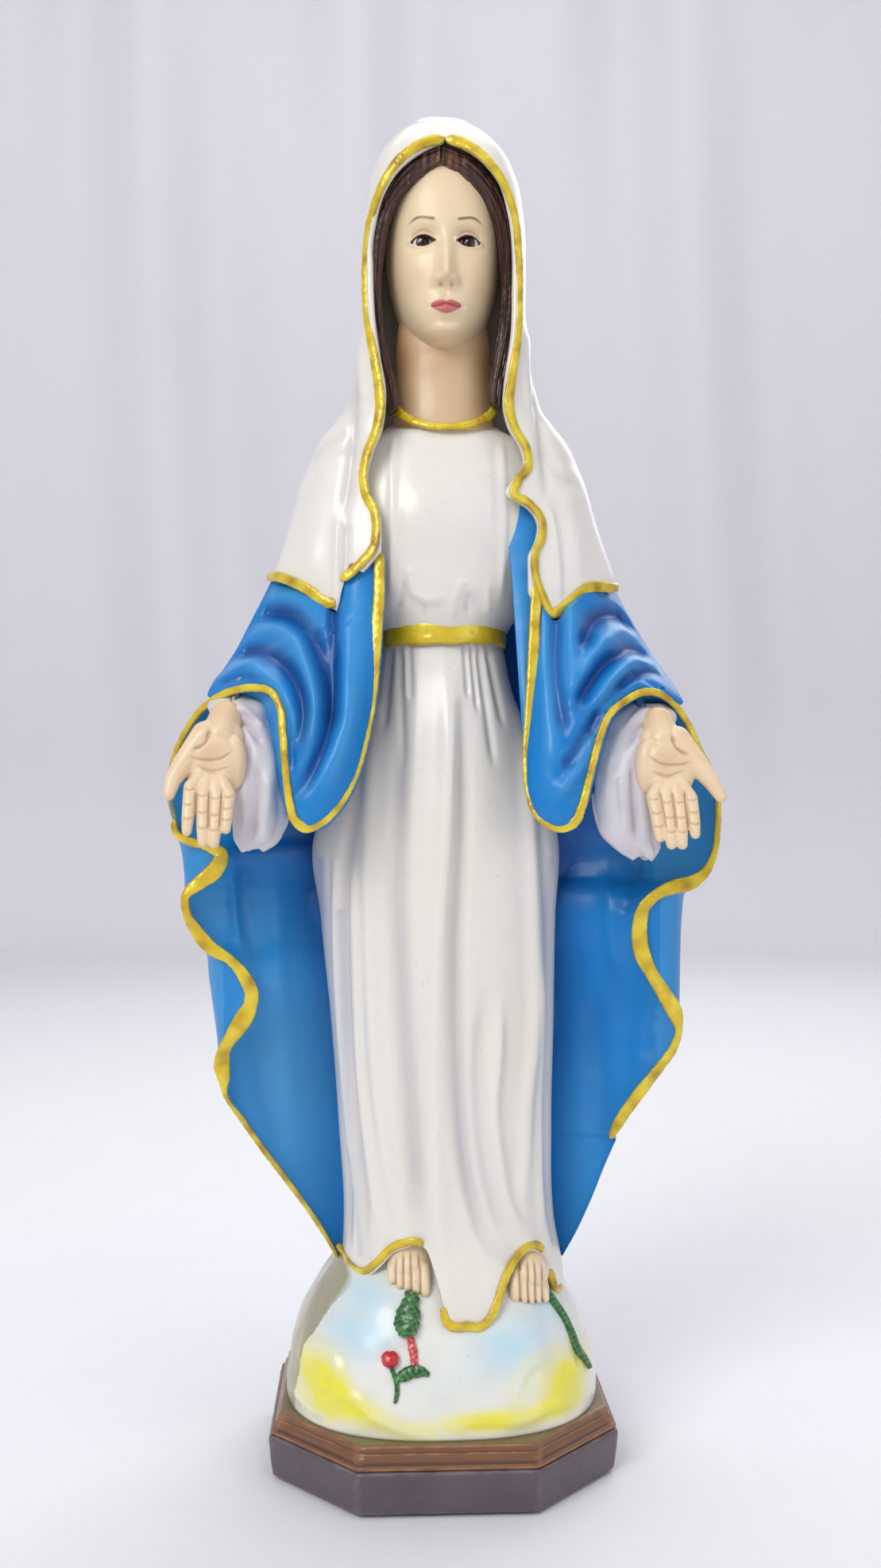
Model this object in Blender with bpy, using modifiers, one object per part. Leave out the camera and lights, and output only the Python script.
"""A standing madonna figure on a globe and an eight-sided plinth, as an assembly of its castings.

Metres, +Z up, the figure faces -Y, and the origin is the middle of the plinth's underside.
The figure's outlines are stations and outline points in millimetres on a master model whose
plinth is MASTER_PLINTH high; place() sets them on this plinth at this figure's size.
"""

import math

import bmesh
import bpy
from mathutils import Vector
from mathutils.geometry import delaunay_2d_cdt

MM = 0.001

# Plinth
PLINTH_WIDTH = 0.150
PLINTH_CORNER = 0.038  # leg of each cut corner
PLINTH_DRAFT = 0.002  # the block narrows towards the foot
PLINTH_WALL = 0.007
FELT_THICK = 0.0015
FELT_INSET = 0.004
BLOCK_HEIGHT = 0.0175
MOULDING_HEIGHT = 0.009
LEDGE = 0.005  # the moulding's top is this much inside the block
GAP = 0.0003  # between touching castings
REACH = 0.006  # castings nearer than this are cut clear of each other

# Fixing
BOLT_DIAMETER = 0.006
BOLT_HEAD_WIDTH = 0.010
BOLT_HEAD_THICK = 0.004
BOLT_GRIP = 0.022  # shank that stands in the globe
WASHER_DIAMETER = 0.018
WASHER_THICK = 0.0016
BOLT_CLEARANCE = 0.0004

# Globe
GLOBE_WIDTH = 0.138
GLOBE_DEPTH = 0.134
GLOBE_HEIGHT = 0.075

# Figure
FIGURE_HEIGHT = 0.572  # top of the plinth to the top of the veil
FIGURE_WIDTH = 0.246  # across the mantle
VEIL_WALL = 0.003
MANTLE_WALL = 0.004
SLEEVE_WALL = 0.004
TRIM_WIDTH = 0.0046
TRIM_THICK = 0.0026
TRIM_SINK = 0.0012  # how deep a sleeve band is cut into by its sheet
TRIM_SEAT = 0.0005  # how far the middle of a band stands off the surface it lies on
BELT_THICK = 0.0025
EYE_DIAMETER = 0.0094
EYE_PROUD = 0.0016  # how far the eyes stand out of the head
PIN_DIAMETER = 0.004
PIN_LENGTH = 0.024

MASTER_PLINTH = 34.5
MASTER_HEIGHT = 565.5
MASTER_WIDTH = 243.0

PLINTH_TOP = FELT_THICK + BLOCK_HEIGHT + MOULDING_HEIGHT
TALL = FIGURE_HEIGHT / (MASTER_HEIGHT * MM)
WIDE = FIGURE_WIDTH / (MASTER_WIDTH * MM)

# Stations: height, middle x, half width, front depth, back depth.
SKIRT = [
    (74, 5, 50, 56, 30),
    (104, 4, 47, 47, 33),
    (150, 2, 48, 40, 35),
    (190, 1, 50, 38, 36),
    (240, -1, 53, 36, 37),
    (277, -2, 55, 34, 38),
    (300, 0, 46, 32, 37),
    (325, 1, 37, 29, 34),
    (345, 1, 31, 25, 30),
]
WAIST = (345, 361, 1, 27, 21, 26)  # foot, top, middle x, half width, front, back
BODICE = [
    (361, 1, 30, 26, 30),
    (372, 1, 35, 30, 34),
    (388, 1, 44, 32, 35),
    (405, 1, 54, 33, 35),
    (425, 1, 58, 31, 34),
    (441, 1, 54, 26, 31),
    (452, 1, 43, 22, 27),
    (458, 1, 27, 19, 22),
]
VEIL = [
    (340, 2, 85, 41, 49),
    (378, 2, 83.5, 41, 49),
    (395, 2, 79, 40, 48),
    (416, 1.5, 71, 39, 44),
    (438, 1.5, 64, 39, 42),
    (452, 1, 57, 38, 40),
    (463, 1, 49, 37, 38),
    (474, 1, 43.5, 37, 37),
    (488, 1.5, 40, 38, 37),
    (505, 1.5, 37.5, 39, 39),
    (530, 1.5, 37, 40, 42),
    (552, 1.5, 36, 39, 42),
    (570, 1.5, 32.5, 35, 38),
    (584, 1, 26, 28, 31),
    (593, 1, 18, 20, 22),
    (598, 1, 9, 11, 12),
    (600, 1, 0, 0, 0),
]
# Mantle: height, left half width, right half width, y of its sides, y of its back.
MANTLE = [
    (80, 94, 94, 0, 42),
    (120, 97, 97, -4, 43),
    (166, 99, 102, -8, 43),
    (192, 101, 105, -12, 43),
    (225, 104, 107, -16, 43),
    (246, 112, 108, -19, 43),
    (262, 116, 117, -22, 43),
    (279, 119, 122, -22, 43),
    (296, 120, 121, -22, 43),
    (311, 117, 117, -21, 43),
    (326, 112, 112, -18, 43),
    (340, 101, 106, -12, 43),
    (352, 94, 100, -7, 43),
    (368, 86, 92, -2, 42),
    (380, 79, 83, 0, 41),
    (400, 68, 71, 3, 38),
]
# Turned-in front edge of the mantle: height, x of the edge. It lies EDGE_FORWARD of the side.
EDGE_LEFT = [
    (166, -95), (173, -99), (182, -97), (191, -90), (200, -82), (208, -81), (214, -85),
    (223, -91), (228, -101), (236, -109), (249, -112), (254, -110), (262, -96), (268, -96),
    (275, -113), (284, -118),
]
EDGE_RIGHT = [
    (166, 90), (172, 94), (180, 100), (189, 104), (197, 101), (204, 96), (212, 90),
    (220, 85), (230, 83), (240, 85), (247, 90), (253, 98), (258, 111), (266, 118), (284, 121),
]
EDGE_FORWARD = 13
# Lower edge of the mantle seen from the front: share of MANTLE_HEM_HALF from the middle, height.
MANTLE_HEM_HALF = 98
MANTLE_TOP = 400
MANTLE_HEM = [(0.0, 86), (0.46, 84), (0.6, 97), (0.745, 118), (0.85, 136), (0.92, 149), (1.0, 166)]

# Outline of each sleeve's front sheet, left side: x, y, z.
SLEEVE_LEFT = {
    "inner": [(-28, -31, 400), (-29, -35, 370), (-30, -39, 344), (-33, -44, 318), (-38, -50, 297), (-45, -55, 284)],
    "outer": [(-68, 3, 398), (-78, 0, 380), (-87, -3, 368), (-94, -8, 352), (-101, -13, 342), (-109, -19, 332)],
    "upper": [(-28, -31, 400), (-39, -28, 403), (-51, -22, 404), (-60, -12, 402), (-68, 3, 398)],
    "lower": [
        (-45, -55, 284), (-51, -58, 281), (-58, -60, 283), (-64, -60, 292), (-67, -58, 306),
        (-70, -56, 322), (-74, -53, 334), (-81, -48, 340), (-90, -40, 341), (-99, -31, 339),
        (-109, -19, 332),
    ],
}
SLEEVE_RIGHT = {
    "inner": [(33, -31, 414), (34, -35, 378), (34, -39, 345), (35, -44, 316), (38, -50, 297), (44, -55, 284)],
    "outer": [(71, 3, 398), (82, 0, 380), (93, -3, 368), (100, -8, 352), (106, -13, 341), (111, -18, 328)],
    "upper": [(33, -31, 414), (43, -27, 410), (55, -22, 407), (63, -12, 403), (71, 3, 398)],
    "lower": [
        (44, -55, 284), (51, -58, 280), (58, -60, 284), (63, -60, 296), (67, -58, 312),
        (71, -56, 325), (78, -52, 335), (86, -46, 340), (95, -38, 340), (104, -28, 336),
        (111, -18, 328),
    ],
}

# Front edge of the veil, from the parting down: height, x left, x right.
VEIL_EDGE = [
    (583, -1, 1), (580, -9, 11), (572, -20, 22), (560, -27, 30), (545, -30, 34),
    (526, -31.5, 36), (504, -31.5, 34.5), (485, -30, 33), (468, -28, 31), (455, -31, 33),
    (440, -34, 37), (430, -34, 36), (421, -31, 31), (413, -29.5, 40), (405, -29, 46), (397, -29, 41),
]
# Lower edge of the cape, from the front round to the back: sine of the angle, height.
CAPE_LEFT = [(0.38, 396), (0.5, 388), (0.58, 376), (0.75, 381), (1.0, 389), (0.7, 372), (0.0, 352)]
CAPE_RIGHT = [(0.48, 398), (0.56, 374), (0.68, 378), (0.85, 386), (1.0, 389), (0.7, 372), (0.0, 352)]

HEAD_CENTRE = (1.5, -1, 529)
HEAD_HALF = (25.5, 30, 42)
CHIN_SLIM = 0.34
NECK = [(456, 21.5, 18), (470, 19.5, 16.5), (485, 19, 16), (505, 18, 17)]
EYE_PLACES = [(-8.7, 536), (11.7, 536)]
NOSE = [(1.5, -30, 535, 2.2), (1.5, -34, 522, 3.4), (1.5, -31, 516, 2.6)]

HAIR_LEFT = [(-1, -25, 575), (-13, -27, 566), (-22, -25, 550), (-26, -20, 525), (-26, -17, 500), (-24, -19, 482), (-20, -21, 464)]
HAIR_RIGHT = [(4, -25, 575), (16, -27, 566), (25, -25, 550), (29, -20, 525), (29, -17, 500), (27, -19, 484), (25, -21, 470)]

# Hands: palm top, palm foot, then each finger's knuckle and tip, the thumb last.
HAND_LEFT = {
    "palm": [(-92, -44, 326), (-94, -53, 312), (-97, -60, 296)],
    "fingers": [
        ((-104, -61, 294), (-106, -68, 278)), ((-99, -62, 292), (-101, -70, 274)),
        ((-94, -62, 292), (-95, -70, 273)), ((-89, -61, 293), (-90, -69, 276)),
        ((-101, -50, 314), (-110, -59, 295)),
    ],
    "pin": (-89, -38, 334),
}
HAND_RIGHT = {
    "palm": [(88, -44, 322), (91, -53, 309), (94, -60, 295)],
    "fingers": [
        ((101, -61, 294), (104, -68, 279)), ((96, -62, 292), (99, -70, 274)),
        ((90, -62, 292), (94, -70, 274)), ((84, -61, 294), (88, -69, 275)),
        ((97, -50, 314), (112, -59, 294)),
    ],
    "pin": (85, -38, 331),
}
PALM_HALF = (15, 6, 12)
FINGER_RADIUS = 3.0

# White under-sleeves: height, middle x, middle y, half width, half depth.
CUFF_LEFT = [(272, -79, -42, 7, 5), (280, -76, -42, 12, 8), (300, -78, -40, 12, 10), (320, -83, -34, 13, 12), (336, -86, -30, 13, 11)]
CUFF_RIGHT = [(269, 81, -42, 7, 5), (278, 77, -42, 12, 8), (300, 76, -40, 12, 10), (320, 81, -34, 13, 12), (334, 86, -30, 13, 11)]

# Feet: middle x, height of the instep, then each toe's x and how far back it ends.
FEET = {
    "foot_left": (-15, 97, [(-22, 5), (-18.5, 4), (-15.3, 3), (-12.2, 2), (-8.8, 0)]),
    "foot_right": (35, 93, [(42, 5), (38.5, 4), (35.3, 3), (32.2, 2), (28.6, 0)]),
}
FOOT_FRONT = -48

HEM = [
    (-46, 81), (-41, 79), (-36, 82), (-28, 90), (-20, 99), (-10, 102), (-6, 92), (0, 81),
    (4, 75.5), (10, 74), (16, 74.5), (21, 80), (26, 90), (33, 97), (42, 97), (47, 90), (54, 78),
]
HEM_SIDE = [(51, 84), (53, 79), (55, 76), (58, 76)]
HEM_BACK = 86

# On the globe's front, as distance from the middle and height in metres.
SERPENT_HEAD = [(-0.0160, 0.0800), (-0.0162, 0.0735), (-0.0155, 0.0665)]
SERPENT_TONGUE = [(-0.0160, 0.0668), (-0.0146, 0.0620), (-0.0133, 0.0568)]
SERPENT_TAIL = [(0.0440, 0.0770), (0.0500, 0.0690), (0.0545, 0.0590), (0.0590, 0.0500), (0.0625, 0.0430)]
APPLE = (-0.0230, 0.0586)
APPLE_DIAMETER = 0.0070
STEM = [(-0.0229, 0.0540), (-0.0205, 0.0500), (-0.0204, 0.0465), (-0.0212, 0.0428)]
LEAF = [(-0.0202, 0.0516), (-0.0165, 0.0545), (-0.0115, 0.0560), (-0.0070, 0.0545)]
COLLAR = [(-21, -20, 460), (-12, -24, 456), (1, -26, 454), (14, -24, 456), (23, -20, 460)]


def clear_scene():
    for obj in list(bpy.data.objects):
        bpy.data.objects.remove(obj)


def collection(name):
    made = bpy.data.collections.new(name)
    bpy.context.scene.collection.children.link(made)
    return made


clear_scene()
STATUE = collection("madonna_statue")
CUTTERS = collection("cutters")


def material(name, colour, roughness, metallic=0.0):
    made = bpy.data.materials.new(name)
    made.use_nodes = True
    made.diffuse_color = (*colour, 1.0)
    shader = made.node_tree.nodes["Principled BSDF"]
    shader.inputs["Base Color"].default_value = (*colour, 1.0)
    shader.inputs["Roughness"].default_value = roughness
    shader.inputs["Metallic"].default_value = metallic
    return made


PAINT = {
    "white": material("white_paint", (0.80, 0.78, 0.72), 0.35),
    "blue": material("blue_paint", (0.03, 0.25, 0.62), 0.35),
    "gold": material("gold_paint", (0.70, 0.52, 0.06), 0.4, 0.4),
    "flesh": material("flesh_paint", (0.80, 0.60, 0.42), 0.45),
    "brown": material("brown_hair_paint", (0.09, 0.03, 0.015), 0.4),
    "green": material("green_paint", (0.03, 0.16, 0.04), 0.4),
    "red": material("red_paint", (0.70, 0.03, 0.02), 0.3),
    "mauve": material("mauve_plinth_paint", (0.13, 0.11, 0.13), 0.5),
    "bronze": material("bronze_moulding_paint", (0.28, 0.14, 0.08), 0.45),
    "glass": material("eye_glass", (0.05, 0.02, 0.01), 0.05),
    "felt": material("black_felt", (0.02, 0.02, 0.02), 0.95),
    "steel": material("steel", (0.5, 0.5, 0.5), 0.35, 1.0),
}


def place(x, y, z):
    """A point of the master model, in millimetres, on this figure."""
    return Vector((x * MM * WIDE, y * MM * WIDE, PLINTH_TOP + (z - MASTER_PLINTH) * MM * TALL))


def between(rows, at):
    """Every column of the rows at this value of the first column, along a smooth curve."""
    rising = rows if rows[0][0] < rows[-1][0] else rows[::-1]
    last = len(rising) - 1
    if at <= rising[0][0]:
        return rising[0][1:]
    if at >= rising[last][0]:
        return rising[last][1:]
    i = max(k for k in range(last) if rising[k][0] <= at)
    a, b = rising[i], rising[i + 1]
    before, after = rising[max(i - 1, 0)], rising[min(i + 2, last)]
    span = b[0] - a[0]
    t = (at - a[0]) / span
    found = []
    for k in range(1, len(a)):
        slope_a = (b[k] - before[k]) / (b[0] - before[0]) * span
        slope_b = (after[k] - a[k]) / (after[0] - a[0]) * span
        found.append(
            (2 * t**3 - 3 * t**2 + 1) * a[k]
            + (t**3 - 2 * t**2 + t) * slope_a
            + (3 * t**2 - 2 * t**3) * b[k]
            + (t**3 - t**2) * slope_b
        )
    return found


def along(points, t):
    """The point at share t of a smooth curve through the points."""
    rows = [(k / (len(points) - 1), *p) for k, p in enumerate(points)]
    return Vector(between(rows, t))


def add(name, paint, mesh):
    obj = bpy.data.objects.new(name, mesh)
    obj.data.materials.append(PAINT[paint])
    STATUE.objects.link(obj)
    return obj


def finish_mesh(name, work):
    bmesh.ops.recalc_face_normals(work, faces=work.faces)
    mesh = bpy.data.meshes.new(name)
    work.to_mesh(mesh)
    work.free()
    return mesh


def loft(name, paint, rings):
    """A closed solid through rings of equally many points."""
    work = bmesh.new()
    rows = [[work.verts.new(p) for p in ring] for ring in rings]
    count = len(rows[0])
    for low, high in zip(rows, rows[1:]):
        for k in range(count):
            n = (k + 1) % count
            work.faces.new((low[k], low[n], high[n], high[k]))
    for ring in (rows[0], rows[-1]):
        cap = work.faces.new(ring)
        bmesh.ops.poke(work, faces=[cap])
    bmesh.ops.triangulate(work, faces=[f for f in work.faces if len(f.verts) > 3])
    return add(name, paint, finish_mesh(name, work))


def sheet(name, paint, rows, wall, side):
    """An open surface through rows of points, with a wall on its left (1) or right (-1) side."""
    work = bmesh.new()
    made = [[work.verts.new(p) for p in row] for row in rows]
    for low, high in zip(made, made[1:]):
        for k in range(len(low) - 1):
            work.faces.new((low[k], low[k + 1], high[k + 1], high[k]))
    bmesh.ops.remove_doubles(work, verts=work.verts, dist=0.00005)
    mesh = bpy.data.meshes.new(name)
    work.to_mesh(mesh)
    work.free()
    obj = add(name, paint, mesh)
    solid = obj.modifiers.new("wall", "SOLIDIFY")
    solid.thickness = wall
    solid.offset = side
    return obj


def sweep(name, paint, points, half_width, half_thick, facing, steps, sides=8, taper=0.0):
    """A band or rod along a smooth curve. facing(point) gives the way its broad side looks."""
    rings = []
    for k in range(steps + 1):
        t = k / steps
        here = place(*along(points, t))
        ahead = place(*along(points, min(t + 0.02, 1))) - place(*along(points, max(t - 0.02, 0)))
        out = Vector(facing(here)).normalized()
        across = ahead.cross(out).normalized()
        out = across.cross(ahead).normalized()
        size = 1 - taper * abs(2 * t - 1) ** 3 if taper else 1
        ring = []
        for j in range(sides):
            turn = 2 * math.pi * (j + 0.5) / sides
            ring.append(
                here
                + across * half_width * size * math.cos(turn)
                + out * half_thick * size * math.sin(turn)
            )
        rings.append(ring)
    return loft(name, paint, rings)


def evaluated_mesh(obj, name):
    bpy.context.view_layer.update()
    graph = bpy.context.evaluated_depsgraph_get()
    return bpy.data.meshes.new_from_object(obj.evaluated_get(graph), depsgraph=graph)


def keep_largest(work):
    """Deletes every loose island but the one with most volume."""
    left, best, best_size = set(work.faces), [], -1.0
    while left:
        island, edge = set(), [left.pop()]
        while edge:
            face = edge.pop()
            island.add(face)
            for e in face.edges:
                for other in e.link_faces:
                    if other in left:
                        left.remove(other)
                        edge.append(other)
        size = sum(f.calc_area() for f in island)
        if size > best_size:
            best, best_size = island, size
    doomed = [f for f in work.faces if f not in best]
    bmesh.ops.delete(work, geom=doomed, context="FACES")


def settle(obj):
    """Applies the modifiers, and keeps the one main body."""
    mesh = evaluated_mesh(obj, obj.name)
    work = bmesh.new()
    work.from_mesh(mesh)
    bmesh.ops.triangulate(work, faces=work.faces)
    bmesh.ops.dissolve_degenerate(work, edges=work.edges, dist=0.000002)
    keep_largest(work)
    work.to_mesh(mesh)
    work.free()
    obj.modifiers.clear()
    obj.data = mesh
    return obj


def grown(obj, by):
    """A cutter: the object's shape with every side moved out."""
    mesh = evaluated_mesh(obj, obj.name + "_cutter")
    work = bmesh.new()
    work.from_mesh(mesh)
    bmesh.ops.remove_doubles(work, verts=work.verts, dist=0.00001)
    work.normal_update()
    moves = [(v, v.normal * by) for v in work.verts]
    for v, move in moves:
        v.co += move
    work.to_mesh(mesh)
    work.free()
    cutter = bpy.data.objects.new(obj.name + "_cutter", mesh)
    cutter.hide_render = True
    cutter.display_type = "WIRE"
    CUTTERS.objects.link(cutter)
    return cutter


def corners(obj):
    box = [obj.matrix_world @ Vector(c) for c in obj.bound_box]
    low = [min(p[k] for p in box) for k in range(3)]
    high = [max(p[k] for p in box) for k in range(3)]
    return low, high


def near(a, b):
    (la, ha), (lb, hb) = corners(a), corners(b)
    return all(la[k] <= hb[k] + REACH and lb[k] <= ha[k] + REACH for k in range(3))


def fit_against(obj, neighbours):
    """Cuts the object back from each neighbour that it reaches, leaving the casting gap."""
    bpy.context.view_layer.update()
    for other in neighbours:
        if not near(obj, other):
            continue
        boolean = obj.modifiers.new("clear_" + other.name, "BOOLEAN")
        boolean.operation = "DIFFERENCE"
        boolean.object = grown(other, GAP)
    return settle(obj)


def octagon(width, corner):
    h, c = width / 2, width / 2 - corner
    return [(-c, -h), (c, -h), (h, -c), (h, c), (c, h), (-c, h), (-h, c), (-h, -c)]


def octagon_ring(inset, z):
    """The plinth's outline moved in, its cut corners staying parallel."""
    shift = inset * (2 - math.sqrt(2))
    outline = octagon(PLINTH_WIDTH - 2 * inset, PLINTH_CORNER - shift)
    return [Vector((x, y, z)) for x, y in outline]


def disc(radius, z, sides):
    return [
        Vector((radius * math.cos(2 * math.pi * k / sides), radius * math.sin(2 * math.pi * k / sides), z))
        for k in range(sides)
    ]


def drill(obj, radius, low, high):
    """A round hole up the middle."""
    cutter = loft(obj.name + "_bore", "steel", [disc(radius, low, 24), disc(radius, high, 24)])
    STATUE.objects.unlink(cutter)
    CUTTERS.objects.link(cutter)
    cutter.hide_render = True
    cutter.display_type = "WIRE"
    hole = obj.modifiers.new("bore", "BOOLEAN")
    hole.operation = "DIFFERENCE"
    hole.object = cutter


def build_plinth():
    """The felt, the hollow block, the moulding and the bolt that holds the globe down."""
    felt_inset = PLINTH_DRAFT + FELT_INSET
    loft("foot_felt", "felt", [octagon_ring(felt_inset, 0), octagon_ring(felt_inset, FELT_THICK - GAP)])
    block_top = FELT_THICK + BLOCK_HEIGHT
    block = loft(
        "plinth_block",
        "mauve",
        [octagon_ring(PLINTH_DRAFT, FELT_THICK), octagon_ring(0, block_top - 0.0015), octagon_ring(0.001, block_top)],
    )
    well_top = block_top - PLINTH_WALL
    well = loft(
        "block_well",
        "mauve",
        [octagon_ring(PLINTH_WALL + PLINTH_DRAFT, -0.001), octagon_ring(PLINTH_WALL + PLINTH_DRAFT, well_top)],
    )
    STATUE.objects.unlink(well)
    CUTTERS.objects.link(well)
    well.hide_render = True
    well.display_type = "WIRE"
    hollow = block.modifiers.new("well", "BOOLEAN")
    hollow.operation = "DIFFERENCE"
    hollow.object = well
    bore = BOLT_DIAMETER / 2 + BOLT_CLEARANCE
    drill(block, bore, 0, block_top + 0.001)
    settle(block)

    low = block_top + GAP
    steps = [
        (0.0012, 0.0),
        (0.0004, 0.10),
        (0.0004, 0.28),
        (0.0026, 0.36),
        (0.0034, 0.62),
        (LEDGE - 0.0006, 0.80),
        (LEDGE - 0.0002, 0.92),
        (LEDGE, 1.0),
    ]
    rings = [octagon_ring(inset, low + share * (PLINTH_TOP - low)) for inset, share in steps]
    moulding = loft("plinth_moulding", "bronze", rings)
    drill(moulding, bore, 0, PLINTH_TOP + 0.001)
    settle(moulding)

    washer = loft(
        "fixing_washer",
        "steel",
        [disc(WASHER_DIAMETER / 2, well_top - GAP - WASHER_THICK, 24), disc(WASHER_DIAMETER / 2, well_top - GAP, 24)],
    )
    drill(washer, bore, 0, block_top)
    settle(washer)
    head_top = well_top - 2 * GAP - WASHER_THICK
    hexagon = BOLT_HEAD_WIDTH / math.sqrt(3)
    head = loft("fixing_bolt", "steel", [disc(hexagon, head_top - BOLT_HEAD_THICK, 6), disc(hexagon, head_top, 6)])
    shank_rings = [disc(BOLT_DIAMETER / 2, head_top - 0.001, 24), disc(BOLT_DIAMETER / 2, PLINTH_TOP + BOLT_GRIP, 24)]
    shank = loft("bolt_shank", "steel", shank_rings)
    STATUE.objects.unlink(shank)
    CUTTERS.objects.link(shank)
    shank.hide_render = True
    join = head.modifiers.new("shank", "BOOLEAN")
    join.operation = "UNION"
    join.object = shank
    settle(head)


def build_globe():
    sides = 32
    rings = []
    for turn_up in (0, 12, 26, 40, 54, 68, 84):
        up = math.radians(turn_up)
        ring = []
        for k in range(sides):
            a = 2 * math.pi * k / sides
            corner = (abs(math.cos(a)) ** 2.5 + abs(math.sin(a)) ** 2.5) ** (-1 / 2.5)
            ring.append(
                Vector((
                    GLOBE_WIDTH / 2 * math.cos(up) * corner * math.cos(a),
                    GLOBE_DEPTH / 2 * math.cos(up) * corner * math.sin(a),
                    PLINTH_TOP + GAP + GLOBE_HEIGHT * math.sin(up),
                ))
            )
        rings.append(ring)
    globe = loft("globe", "white", rings)
    drill(globe, BOLT_DIAMETER / 2 + BOLT_CLEARANCE, 0, PLINTH_TOP + BOLT_GRIP + GAP)
    return settle(globe)


def globe_front(x, z, off):
    """A point on the globe's front at x and z, standing off it squarely."""

    def surface(px, pz):
        level = math.sqrt(max(0.0, 1 - ((pz - PLINTH_TOP) / GLOBE_HEIGHT) ** 2))
        reach = level**2.5 - abs(2 * px / GLOBE_WIDTH) ** 2.5
        return -GLOBE_DEPTH / 2 * max(0.0, reach) ** 0.4

    step = 0.0005
    here = surface(x, z)
    tilt_x = (surface(x + step, z) - surface(x - step, z)) / (2 * step)
    tilt_z = (surface(x, z + step) - surface(x, z - step)) / (2 * step)
    away = Vector((tilt_x, -1, tilt_z)).normalized()
    return Vector((x, here, z)) + away * off


def on_globe(name, paint, path, half_width, half_thick, off, fitted, steps=6, taper=0.3):
    """A relief detail that runs over the front of the globe."""
    rings = []
    for k in range(steps + 1):
        t = k / steps
        rows = [(i / (len(path) - 1), *p) for i, p in enumerate(path)]
        here = globe_front(*between(rows, t), off)
        ahead = globe_front(*between(rows, min(t + 0.05, 1)), off)
        ahead = ahead - globe_front(*between(rows, max(t - 0.05, 0)), off)
        out = here - Vector((0, 0, PLINTH_TOP))
        across = ahead.cross(out).normalized()
        out = across.cross(ahead).normalized()
        size = 1 - taper * abs(2 * t - 1) ** 2.5
        rings.append([
            here
            + across * half_width * size * math.cos(2 * math.pi * j / 8)
            + out * half_thick * size * math.sin(2 * math.pi * j / 8)
            for j in range(8)
        ])
    return fit_against(loft(name, paint, rings), fitted)


def build_ground(fitted):
    """The serpent under the feet, and the apple on its stem."""
    made = []

    def keep(obj):
        made.append(obj)
        fitted.append(obj)

    keep(on_globe("serpent_head", "green", SERPENT_HEAD, 0.0052, 0.0045, 0.0015, fitted, taper=0.4))
    keep(on_globe("serpent_tongue", "red", SERPENT_TONGUE, 0.0016, 0.0016, 0.0005, fitted))
    keep(on_globe("serpent_tail", "green", SERPENT_TAIL, 0.0024, 0.0026, 0.0008, fitted, steps=9))
    work = bmesh.new()
    ball(work, globe_front(*APPLE, 0.0012), (APPLE_DIAMETER / 2,) * 3)
    keep(fit_against(add("apple", "red", finish_mesh("apple", work)), fitted))
    keep(on_globe("apple_stem", "green", STEM, 0.0011, 0.0012, 0.0004, fitted))
    keep(on_globe("apple_leaf", "green", LEAF, 0.0036, 0.0012, 0.0004, fitted, taper=0.8))
    return made


def build_foot(name, fitted):
    """A foot from its instep to five toes, voxel-joined and thinned."""
    middle, top, toes = FEET[name]
    work = bmesh.new()
    ball(work, place(middle, FOOT_FRONT + 14, top - 6), (11 * MM * WIDE, 17 * MM * WIDE, 8 * MM * TALL))
    for x, back in toes:
        ball(
            work,
            place(x, FOOT_FRONT + back, top - 11),
            ((2.6 if back else 3.4) * MM * WIDE, 7 * MM * WIDE, 4.5 * MM * TALL),
        )
    foot = add(name, "flesh", finish_mesh(name, work))
    fuse(foot, 0.0014, 300)
    return fit_against(foot, fitted)


def ball(work, centre, half, rings=8):
    made = bmesh.ops.create_uvsphere(work, u_segments=12, v_segments=rings, radius=1.0)
    bmesh.ops.scale(work, verts=made["verts"], vec=half)
    bmesh.ops.translate(work, verts=made["verts"], vec=centre)
    return made["verts"]


def limb(work, start, end, radius_start, radius_end):
    """A rod with round ends between two points."""
    axis = end - start
    turn = axis.to_track_quat("Z", "Y").to_matrix()
    made = bmesh.ops.create_cone(
        work, cap_ends=True, segments=12, radius1=radius_start, radius2=radius_end, depth=axis.length
    )
    bmesh.ops.rotate(work, verts=made["verts"], matrix=turn)
    bmesh.ops.translate(work, verts=made["verts"], vec=(start + end) / 2)
    ball(work, start, (radius_start,) * 3)
    ball(work, end, (radius_end,) * 3)


def fuse(obj, voxel, triangles):
    """Joins what overlaps in one mesh, then thins it to about this many triangles."""
    remesh = obj.modifiers.new("fuse", "REMESH")
    remesh.mode = "VOXEL"
    remesh.voxel_size = voxel
    mesh = evaluated_mesh(obj, obj.name)
    obj.modifiers.clear()
    obj.data = mesh
    thin = obj.modifiers.new("thin", "DECIMATE")
    thin.ratio = min(1.0, triangles / (2 * len(mesh.polygons)))
    return settle(obj)


def build_hand(name, shape, fitted):
    work = bmesh.new()
    top, middle, foot = [place(*p) for p in shape["palm"]]
    half = [h * MM * WIDE for h in PALM_HALF]
    ball(work, top, (half[0] * 0.72, half[1] * 1.3, half[2]))
    ball(work, middle, (half[0] * 0.9, half[1] * 1.15, half[2] * 1.1))
    ball(work, foot, (half[0], half[1], half[2] * 0.8))
    radius = FINGER_RADIUS * MM * WIDE
    for knuckle, tip in shape["fingers"]:
        limb(work, place(*knuckle), place(*tip), radius, radius * 0.8)
    hand = add(name, "flesh", finish_mesh(name, work))
    fuse(hand, 0.0015, 560)
    return fit_against(hand, fitted)


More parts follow.
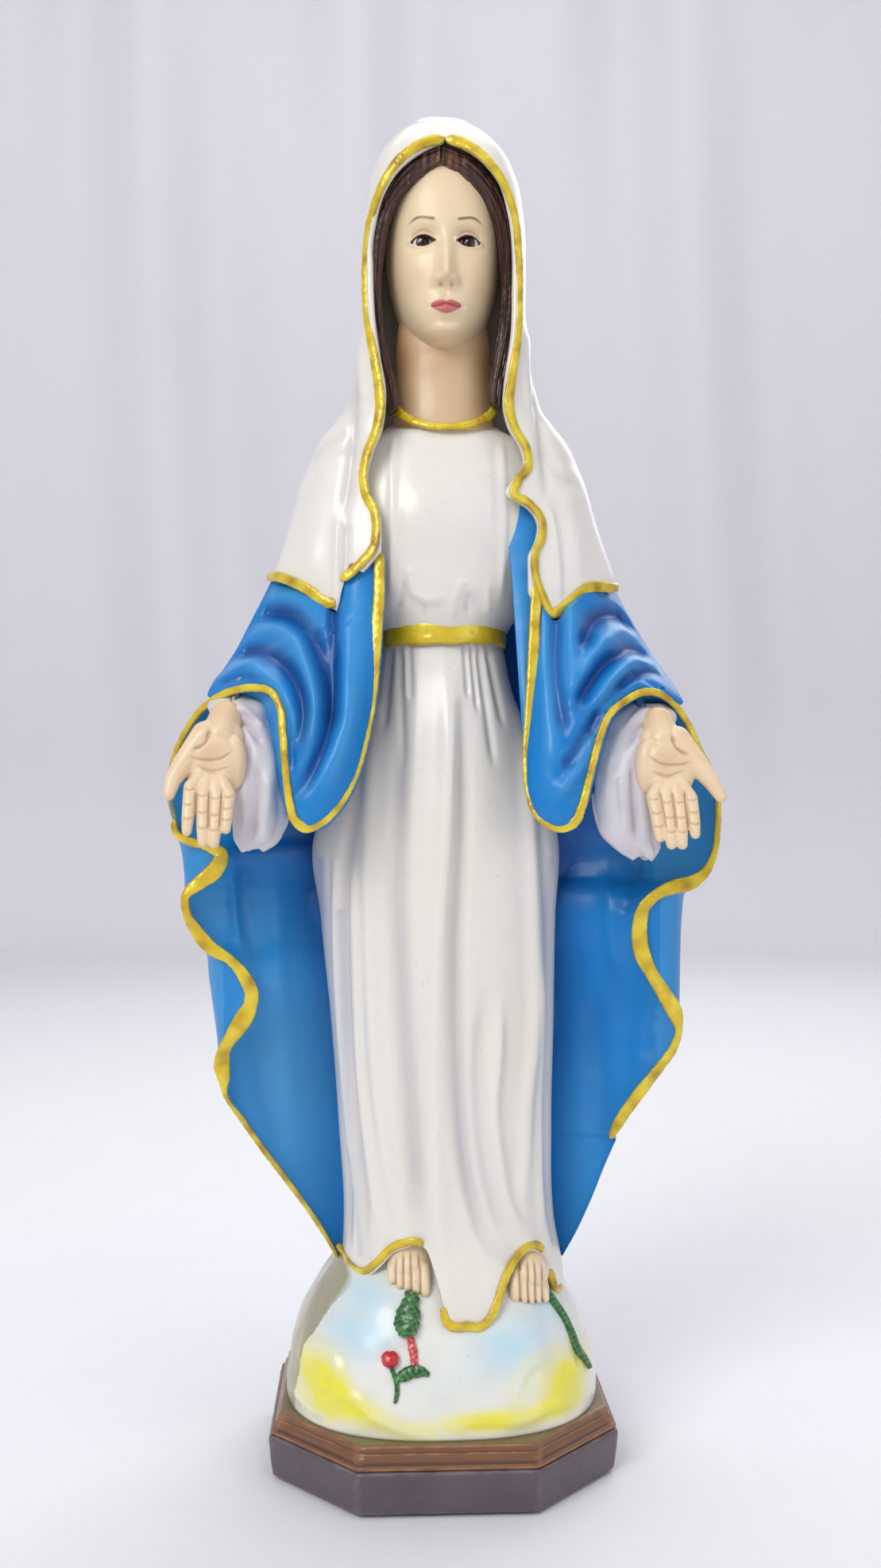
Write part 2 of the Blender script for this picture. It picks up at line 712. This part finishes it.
def build_pin(name, shape):
    """The steel pin that locates a hand in its sleeve."""
    at = place(*shape["pin"])
    away = (at - place(*shape["palm"][1])).normalized()
    turn = away.to_track_quat("Z", "Y").to_matrix()
    work = bmesh.new()
    made = bmesh.ops.create_cone(
        work, cap_ends=True, segments=16, radius1=PIN_DIAMETER / 2, radius2=PIN_DIAMETER / 2, depth=PIN_LENGTH
    )
    bmesh.ops.rotate(work, verts=made["verts"], matrix=turn)
    bmesh.ops.translate(work, verts=made["verts"], vec=at)
    return add(name, "steel", finish_mesh(name, work))


def ellipse_ring(z, middle_x, half_width, front, back, sides, middle_y=0.0):
    ring = []
    for k in range(sides):
        a = 2 * math.pi * k / sides
        depth = front if math.cos(a) > 0 else back
        ring.append(place(middle_x + half_width * math.sin(a), middle_y - depth * math.cos(a), z))
    return ring


def hem_height(angle, x):
    """Height of the skirt's lower edge: it rises over each foot in front and is level behind."""
    if math.cos(angle) > 0:
        return between(HEM, x)[0]
    return HEM_BACK


def build_skirt(fitted):
    """The skirt from the hem to the belt, with the neck that the belt goes round."""
    sides = 36
    shares = (0, 0.07, 0.18, 0.36, 0.54, 0.7, 0.8, 0.9, 1.0)
    top = SKIRT[-1][0]
    rings = []
    for share in shares:
        ring = []
        for k in range(sides):
            a = 2 * math.pi * k / sides
            middle_x, half_width, front, back = between(SKIRT, 90 + (top - 90) * share)
            x = middle_x + half_width * math.sin(a)
            low = hem_height(a, x)
            z = low + (top - low) * share
            middle_x, half_width, front, back = between(SKIRT, z)
            depth = front if math.cos(a) > 0 else back
            ring.append(place(middle_x + half_width * math.sin(a), -depth * math.cos(a), z))
        rings.append(ring)
    foot, high, middle_x, half_width, front, back = WAIST
    rings.append(ellipse_ring(foot, middle_x, half_width, front, back, sides))
    rings.append(ellipse_ring(high, middle_x, half_width, front, back, sides))
    return fit_against(loft("robe_skirt", "white", rings), fitted)


def build_belt():
    """The gathered belt, a ring round the skirt's neck."""
    foot, top, middle_x, half_width, front, back = WAIST
    gap = GAP / MM
    thick = BELT_THICK / MM
    outside = [0.2, 0.9, 1.0, 0.75, 1.0, 0.9, 0.2]
    span = top - foot - 2 * gap
    rings = []
    for k, share in enumerate(outside):
        z = foot + gap + span * k / (len(outside) - 1)
        out = gap + 3.0 + thick * share
        rings.append(ellipse_ring(z, middle_x, half_width + out, front + out, back + out, 28))
    for z in (top - gap, foot + gap):
        rings.append(ellipse_ring(z, middle_x, half_width + gap, front + gap, back + gap, 28))
    work = bmesh.new()
    rows = [[work.verts.new(p) for p in ring] for ring in rings]
    for low, high in zip(rows, rows[1:] + rows[:1]):
        for k in range(28):
            n = (k + 1) % 28
            work.faces.new((low[k], low[n], high[n], high[k]))
    return add("belt", "gold", finish_mesh("belt", work))


def build_bodice(fitted):
    gap = GAP / MM
    heights = (361 + gap, 367, 377, 390, 407, 425, 440, 452, 458)
    rings = [ellipse_ring(z, *between(BODICE, z), 28) for z in heights]
    return fit_against(loft("robe_bodice", "white", rings), fitted)


def head_ring(z, sides):
    """The head's outline at a height: an egg that narrows to the chin."""
    cx, cy, cz = HEAD_CENTRE
    hx, hy, hz = HEAD_HALF
    t = max(-1.0, min(1.0, (z - cz) / hz))
    round_off = math.sqrt(max(0.0004, 1 - t * t))
    slim = 1 - CHIN_SLIM * max(0.0, -t) ** 1.6
    return ellipse_ring(z, cx, hx * round_off * slim, hy * round_off, hy * round_off * 0.9, sides, cy)


def build_eyes():
    eyes = []
    for side, (x, z) in zip(("left", "right"), EYE_PLACES):
        work = bmesh.new()
        skin = head_ring(z, 180)
        nearest = min((p for p in skin if p.y < 0), key=lambda p: abs(p.x - place(x, 0, z).x))
        set_back = EYE_DIAMETER / 2 - EYE_PROUD
        ball(work, nearest + Vector((0, set_back, 0)), (EYE_DIAMETER / 2,) * 3)
        eyes.append(add("glass_eye_" + side, "glass", finish_mesh("eye", work)))
    return eyes


def build_head(fitted):
    heights = [HEAD_CENTRE[2] + HEAD_HALF[2] * math.sin(math.radians(a)) for a in range(-86, 87, 14)]
    head = loft("head", "flesh", [head_ring(z, 20) for z in heights])
    neck_rings = [ellipse_ring(z, 1, hx, hy, hy, 20, 0.5) for z, hx, hy in NECK]
    neck = loft("neck", "flesh", neck_rings)
    work = bmesh.new()
    for (ax, ay, az, ar), (bx, by, bz, br) in zip(NOSE, NOSE[1:]):
        limb(work, place(ax, ay + 3, az), place(bx, by + 2, bz), ar * MM * WIDE, br * MM * WIDE)
    nose = add("nose", "flesh", finish_mesh("nose", work))
    for extra in (neck, nose):
        STATUE.objects.unlink(extra)
        CUTTERS.objects.link(extra)
        extra.hide_render = True
        join = head.modifiers.new("join_" + extra.name, "BOOLEAN")
        join.operation = "UNION"
        join.object = extra
        join.use_self = extra is nose
    settle(head)
    return fit_against(head, fitted)


def mantle_edge(side, z):
    """The turned-in front edge of the mantle at a height: x and y. side is -1 or 1."""
    left, right, side_y, back_y = between(MANTLE, z)
    reach = left if side < 0 else right
    rows = EDGE_LEFT if side < 0 else EDGE_RIGHT
    if z >= rows[-1][0]:
        return side * reach, side_y - 3
    x = between(rows, z)[0]
    turned = min(1.0, max(0.0, (reach - abs(x)) / 12))
    return x, side_y - EDGE_FORWARD * (0.25 + 0.75 * turned)


def mantle_row(z, sides):
    """One level of the mantle, from its left front edge round the back to the right."""
    left, right, side_y, back_y = between(MANTLE, z)
    row = []
    x, y = mantle_edge(-1, z)
    row.append((x, y))
    row.append(((x - 3 * left) / 4, (y + side_y) / 2))
    for k in range(sides + 1):
        a = math.pi * k / sides - math.pi / 2
        half = left if a < 0 else right
        row.append((half * math.sin(a), side_y + (back_y - side_y) * math.cos(a)))
    x, y = mantle_edge(1, z)
    row.append(((x + 3 * right) / 4, (y + side_y) / 2))
    row.append((x, y))
    return row


def build_mantle(fitted):
    """The cloak behind the figure. Its lower levels follow the hem, which rises to the sides."""
    side_low = MANTLE_HEM[-1][1]
    shares = (0, 0.06, 0.12, 0.19, 0.26, 0.33, 0.39, 0.45, 0.5, 0.58, 0.68, 0.8, 1.0)
    rows = []
    for share in shares:
        level = side_low + (MANTLE_TOP - side_low) * share
        flat = mantle_row(level, 16)
        points = []
        for k, (x, y) in enumerate(flat):
            edge = k < 3 or k > len(flat) - 4
            low = side_low if edge else between(MANTLE_HEM, min(1.0, abs(x) / MANTLE_HEM_HALF))[0]
            points.append(place(x, y, low + (MANTLE_TOP - low) * share))
        rows.append(points)
    mantle = sheet("mantle", "blue", rows, MANTLE_WALL, 1)
    return fit_against(mantle, fitted)


def sleeve_outline(shape, steps):
    """The front sheet's outline as points, from the shoulder down the inner edge and round."""
    inner = [along(shape["inner"], k / steps) for k in range(steps)]
    lower = [along(shape["lower"], k / steps) for k in range(steps + 1)]
    outer = [along(shape["outer"], 1 - k / steps) for k in range(1, steps + 1)]
    upper = [along(shape["upper"], 1 - k / 5) for k in range(1, 5)]
    return inner + lower + outer + upper


def sleeve_depth(outline, x, z):
    """How far forward the sheet lies at x and z, blended from its outline."""
    total, depth = 0.0, 0.0
    for p in outline:
        weight = 1 / ((p.x - x) ** 2 + (p.z - z) ** 2 + 4.0) ** 1.5
        total += weight
        depth += weight * p.y
    return depth / total


def inside(outline, x, z):
    """Whether x and z lie within the outline, by counting crossings."""
    found = False
    for a, b in zip(outline, outline[1:] + outline[:1]):
        if (a.z > z) != (b.z > z) and x < (b.x - a.x) * (z - a.z) / (b.z - a.z) + a.x:
            found = not found
    return found


def build_sleeve(name, shape, fitted):
    """The front sheet of the mantle, draped over a forearm."""
    outline = sleeve_outline(shape, 9)
    spots = [(p.x, p.z) for p in outline]
    low_x, high_x = min(p[0] for p in spots), max(p[0] for p in spots)
    low_z, high_z = min(p[1] for p in spots), max(p[1] for p in spots)
    pitch = 12.0
    for i in range(1, int((high_x - low_x) / pitch) + 1):
        for j in range(1, int((high_z - low_z) / pitch) + 1):
            x, z = low_x + i * pitch, low_z + j * pitch
            if inside(outline, x, z) and min(math.hypot(p.x - x, p.z - z) for p in outline) > 5:
                spots.append((x, z))
    rim = len(outline)
    edges = [(k, (k + 1) % rim) for k in range(rim)]
    flat = delaunay_2d_cdt([Vector(p) for p in spots], edges, [], 1, 1e-5)
    points, faces = flat[0], flat[2]
    edge_count = {}
    for face in faces:
        for k in range(3):
            pair = (face[k], face[(k + 1) % 3])
            edge_count[pair] = edge_count.get(pair, 0) + 1
    border = [p for p in edge_count if (p[1], p[0]) not in edge_count]
    work = bmesh.new()
    wall = SLEEVE_WALL / MM
    front = [work.verts.new(place(p.x, sleeve_depth(outline, p.x, p.y), p.y)) for p in points]
    back = [work.verts.new(place(p.x, sleeve_depth(outline, p.x, p.y) + wall, p.y)) for p in points]
    for face in faces:
        work.faces.new([front[k] for k in face])
        work.faces.new([back[k] for k in reversed(face)])
    for i, j in border:
        work.faces.new((front[j], front[i], back[i], back[j]))
    return fit_against(add(name, "blue", finish_mesh(name, work)), fitted)


def build_front_trim(name, shape, fitted):
    """The gold band on the inner and lower edge of a sleeve's front sheet."""
    outline = sleeve_outline(shape, 9)
    path = outline[:19]
    sunk, thick, width = TRIM_SINK / MM, TRIM_THICK / MM, TRIM_WIDTH / MM
    side = -1 if shape["inner"][0][0] < 0 else 1
    rings = []
    for k, here in enumerate(path):
        ahead = path[min(k + 1, len(path) - 1)] - path[max(k - 1, 0)]
        inward = Vector((-ahead.z, 0, ahead.x)).normalized() * side
        ring = []
        for across, deep in ((-0.5, -sunk), (width, -sunk), (width, thick - sunk), (-0.5, thick - sunk)):
            p = here + inward * across
            ring.append(place(p.x, sleeve_depth(outline, p.x, p.z) - deep, p.z))
        rings.append(ring)
    return fit_against(loft(name, "gold", rings), fitted)


def build_cuff(name, stations, fitted):
    """The white under-sleeve that hangs from the wrist."""
    heights = [stations[0][0] + (stations[-1][0] - stations[0][0]) * k / 6 for k in range(7)]
    rings = []
    for z in heights:
        x, y, half_width, half_depth = between(stations, z)
        rings.append(ellipse_ring(z, x, half_width, half_depth, half_depth, 14, y))
    return fit_against(loft(name, "white", rings), fitted)


def veil_row(z, share, sides):
    """One level of the veil from its left front edge round the back to the right."""
    middle_x, half_width, front, back = between(VEIL, z)
    start = end = 0.0
    if z < VEIL_EDGE[0][0]:
        left, right = between(VEIL_EDGE, z)
        start = -math.asin(max(-1.0, min(1.0, (left - middle_x) / half_width)))
        end = math.asin(max(-1.0, min(1.0, (right - middle_x) / half_width)))
    points = []
    for k in range(sides + 1):
        a = -start - (2 * math.pi - start - end) * k / sides
        depth = front if math.cos(a) > 0 else back
        points.append((middle_x + half_width * math.sin(a), -depth * math.cos(a), a))
    return points


def cape_height(angle):
    """Height of the cape's lower edge at an angle round the figure, 0 at the front."""
    side = CAPE_LEFT if math.sin(angle) < 0 else CAPE_RIGHT
    across = abs(math.sin(angle))
    front = side[:5]
    back = [side[6], side[5], side[4]]
    rows = front if math.cos(angle) > 0 else back
    return between(rows, across)[0]


def build_veil(fitted):
    """The veil over the head and shoulders, ending in a cape over the upper arms."""
    sides = 26
    rows = []
    cape_top = 405
    for share in (0.0, 0.5, 1.0):
        row = []
        for x, y, a in veil_row(cape_top, share, sides):
            z = cape_height(a) + (cape_top - cape_height(a)) * share
            middle_x, half_width, front, back = between(VEIL, z)
            depth = front if math.cos(a) > 0 else back
            row.append(place(middle_x + half_width * math.sin(a), -depth * math.cos(a), z))
        rows.append(row)
    for z in (413, 421, 431, 443, 455, 468, 485, 510, 540, 560, 573, 583, 591, 597, 600):
        rows.append([place(x, y, z) for x, y, a in veil_row(z, 1.0, sides)])
    veil = sheet("veil", "white", rows, VEIL_WALL, 1)
    return fit_against(veil, fitted)


def from_axis(point):
    return (point.x, point.y + 0.004, 0.0)


def forwards(point):
    return (0.15 * math.copysign(1, point.x), -1.0, 0.0)


def on_shell(stations, x, z, off):
    """A point in front of a garment's shell at x and z, standing off it squarely."""
    middle_x, half_width, front, back = between(stations, z)
    share = max(-0.985, min(0.985, (x - middle_x) / half_width))
    deep = math.sqrt(1 - share * share)
    away = Vector((share / half_width, -deep / front)).normalized()
    return (
        middle_x + half_width * share + away.x * off,
        -front * deep + away.y * off,
        z,
    )


def on_shell(stations, x, z, off):
    """A point in front of a garment's shell at x and z, standing off it squarely."""
    middle_x, half_width, front, back = between(stations, z)
    share = max(-0.985, min(0.985, (x - middle_x) / half_width))
    deep = math.sqrt(1 - share * share)
    away = Vector((share / half_width, -deep / front)).normalized()
    return (
        middle_x + half_width * share + away.x * off,
        -front * deep + away.y * off,
        z,
    )


def trim(name, points, fitted, steps=20, facing=from_axis, width=TRIM_WIDTH):
    band = sweep(name, "gold", points, width / 2, TRIM_THICK / 2, facing, steps, 6)
    return fit_against(band, fitted)


def build():
    build_plinth()
    globe = build_globe()
    made = [globe, bpy.data.objects["fixing_bolt"]]

    def keep(obj):
        made.append(obj)
        return obj

    out = TRIM_THICK / MM / 2 + GAP / MM
    for name in FEET:
        keep(build_foot(name, made))
    for eye in build_eyes():
        keep(eye)
    keep(build_head(made))
    build_ground(made)
    keep(build_skirt(made))
    keep(build_belt())
    keep(build_bodice(made))
    for name, shape in (("left", HAND_LEFT), ("right", HAND_RIGHT)):
        keep(build_pin("hand_pin_" + name, shape))
        keep(build_hand("hand_" + name, shape, made))
    keep(build_cuff("under_sleeve_left", CUFF_LEFT, made))
    keep(build_cuff("under_sleeve_right", CUFF_RIGHT, made))
    keep(build_sleeve("sleeve_left", SLEEVE_LEFT, made))
    keep(build_sleeve("sleeve_right", SLEEVE_RIGHT, made))
    keep(build_mantle(made))
    for name, points in (("hair_left", HAIR_LEFT), ("hair_right", HAIR_RIGHT)):
        hair = sweep(name, "brown", points, 0.0048 * WIDE, 0.0042 * WIDE, from_axis, 10, 8, taper=0.35)
        keep(fit_against(hair, made))
    keep(build_veil(made))

    seat = TRIM_SEAT / MM
    for side, column in (("left", 1), ("right", 2)):
        edge = [on_shell(VEIL, row[column], row[0], seat) for row in VEIL_EDGE[1:]]
        keep(trim("veil_trim_" + side, edge, made, 20))
    keep(trim("collar_trim", COLLAR, made, 12, forwards, 0.006))
    for side, sign, shape in (("left", -1, SLEEVE_LEFT), ("right", 1, SLEEVE_RIGHT)):
        keep(build_front_trim("mantle_front_trim_" + side, shape, made))
        rows = EDGE_LEFT if sign < 0 else EDGE_RIGHT
        down = [(x, mantle_edge(sign, z)[1] - seat, z) for z, x in rows[:-1]]
        keep(trim("mantle_edge_trim_" + side, down, made, 22, forwards))
    keep(trim("hem_trim_left", [on_shell(SKIRT, x, z, seat) for x, z in HEM[1:7]], made, 9))
    keep(trim("hem_trim_right", [on_shell(SKIRT, x, z, seat) for x, z in HEM[7:16]], made, 13))
    keep(trim("hem_trim_side", [on_shell(SKIRT, x, z, seat) for x, z in HEM_SIDE], made, 6))


build()
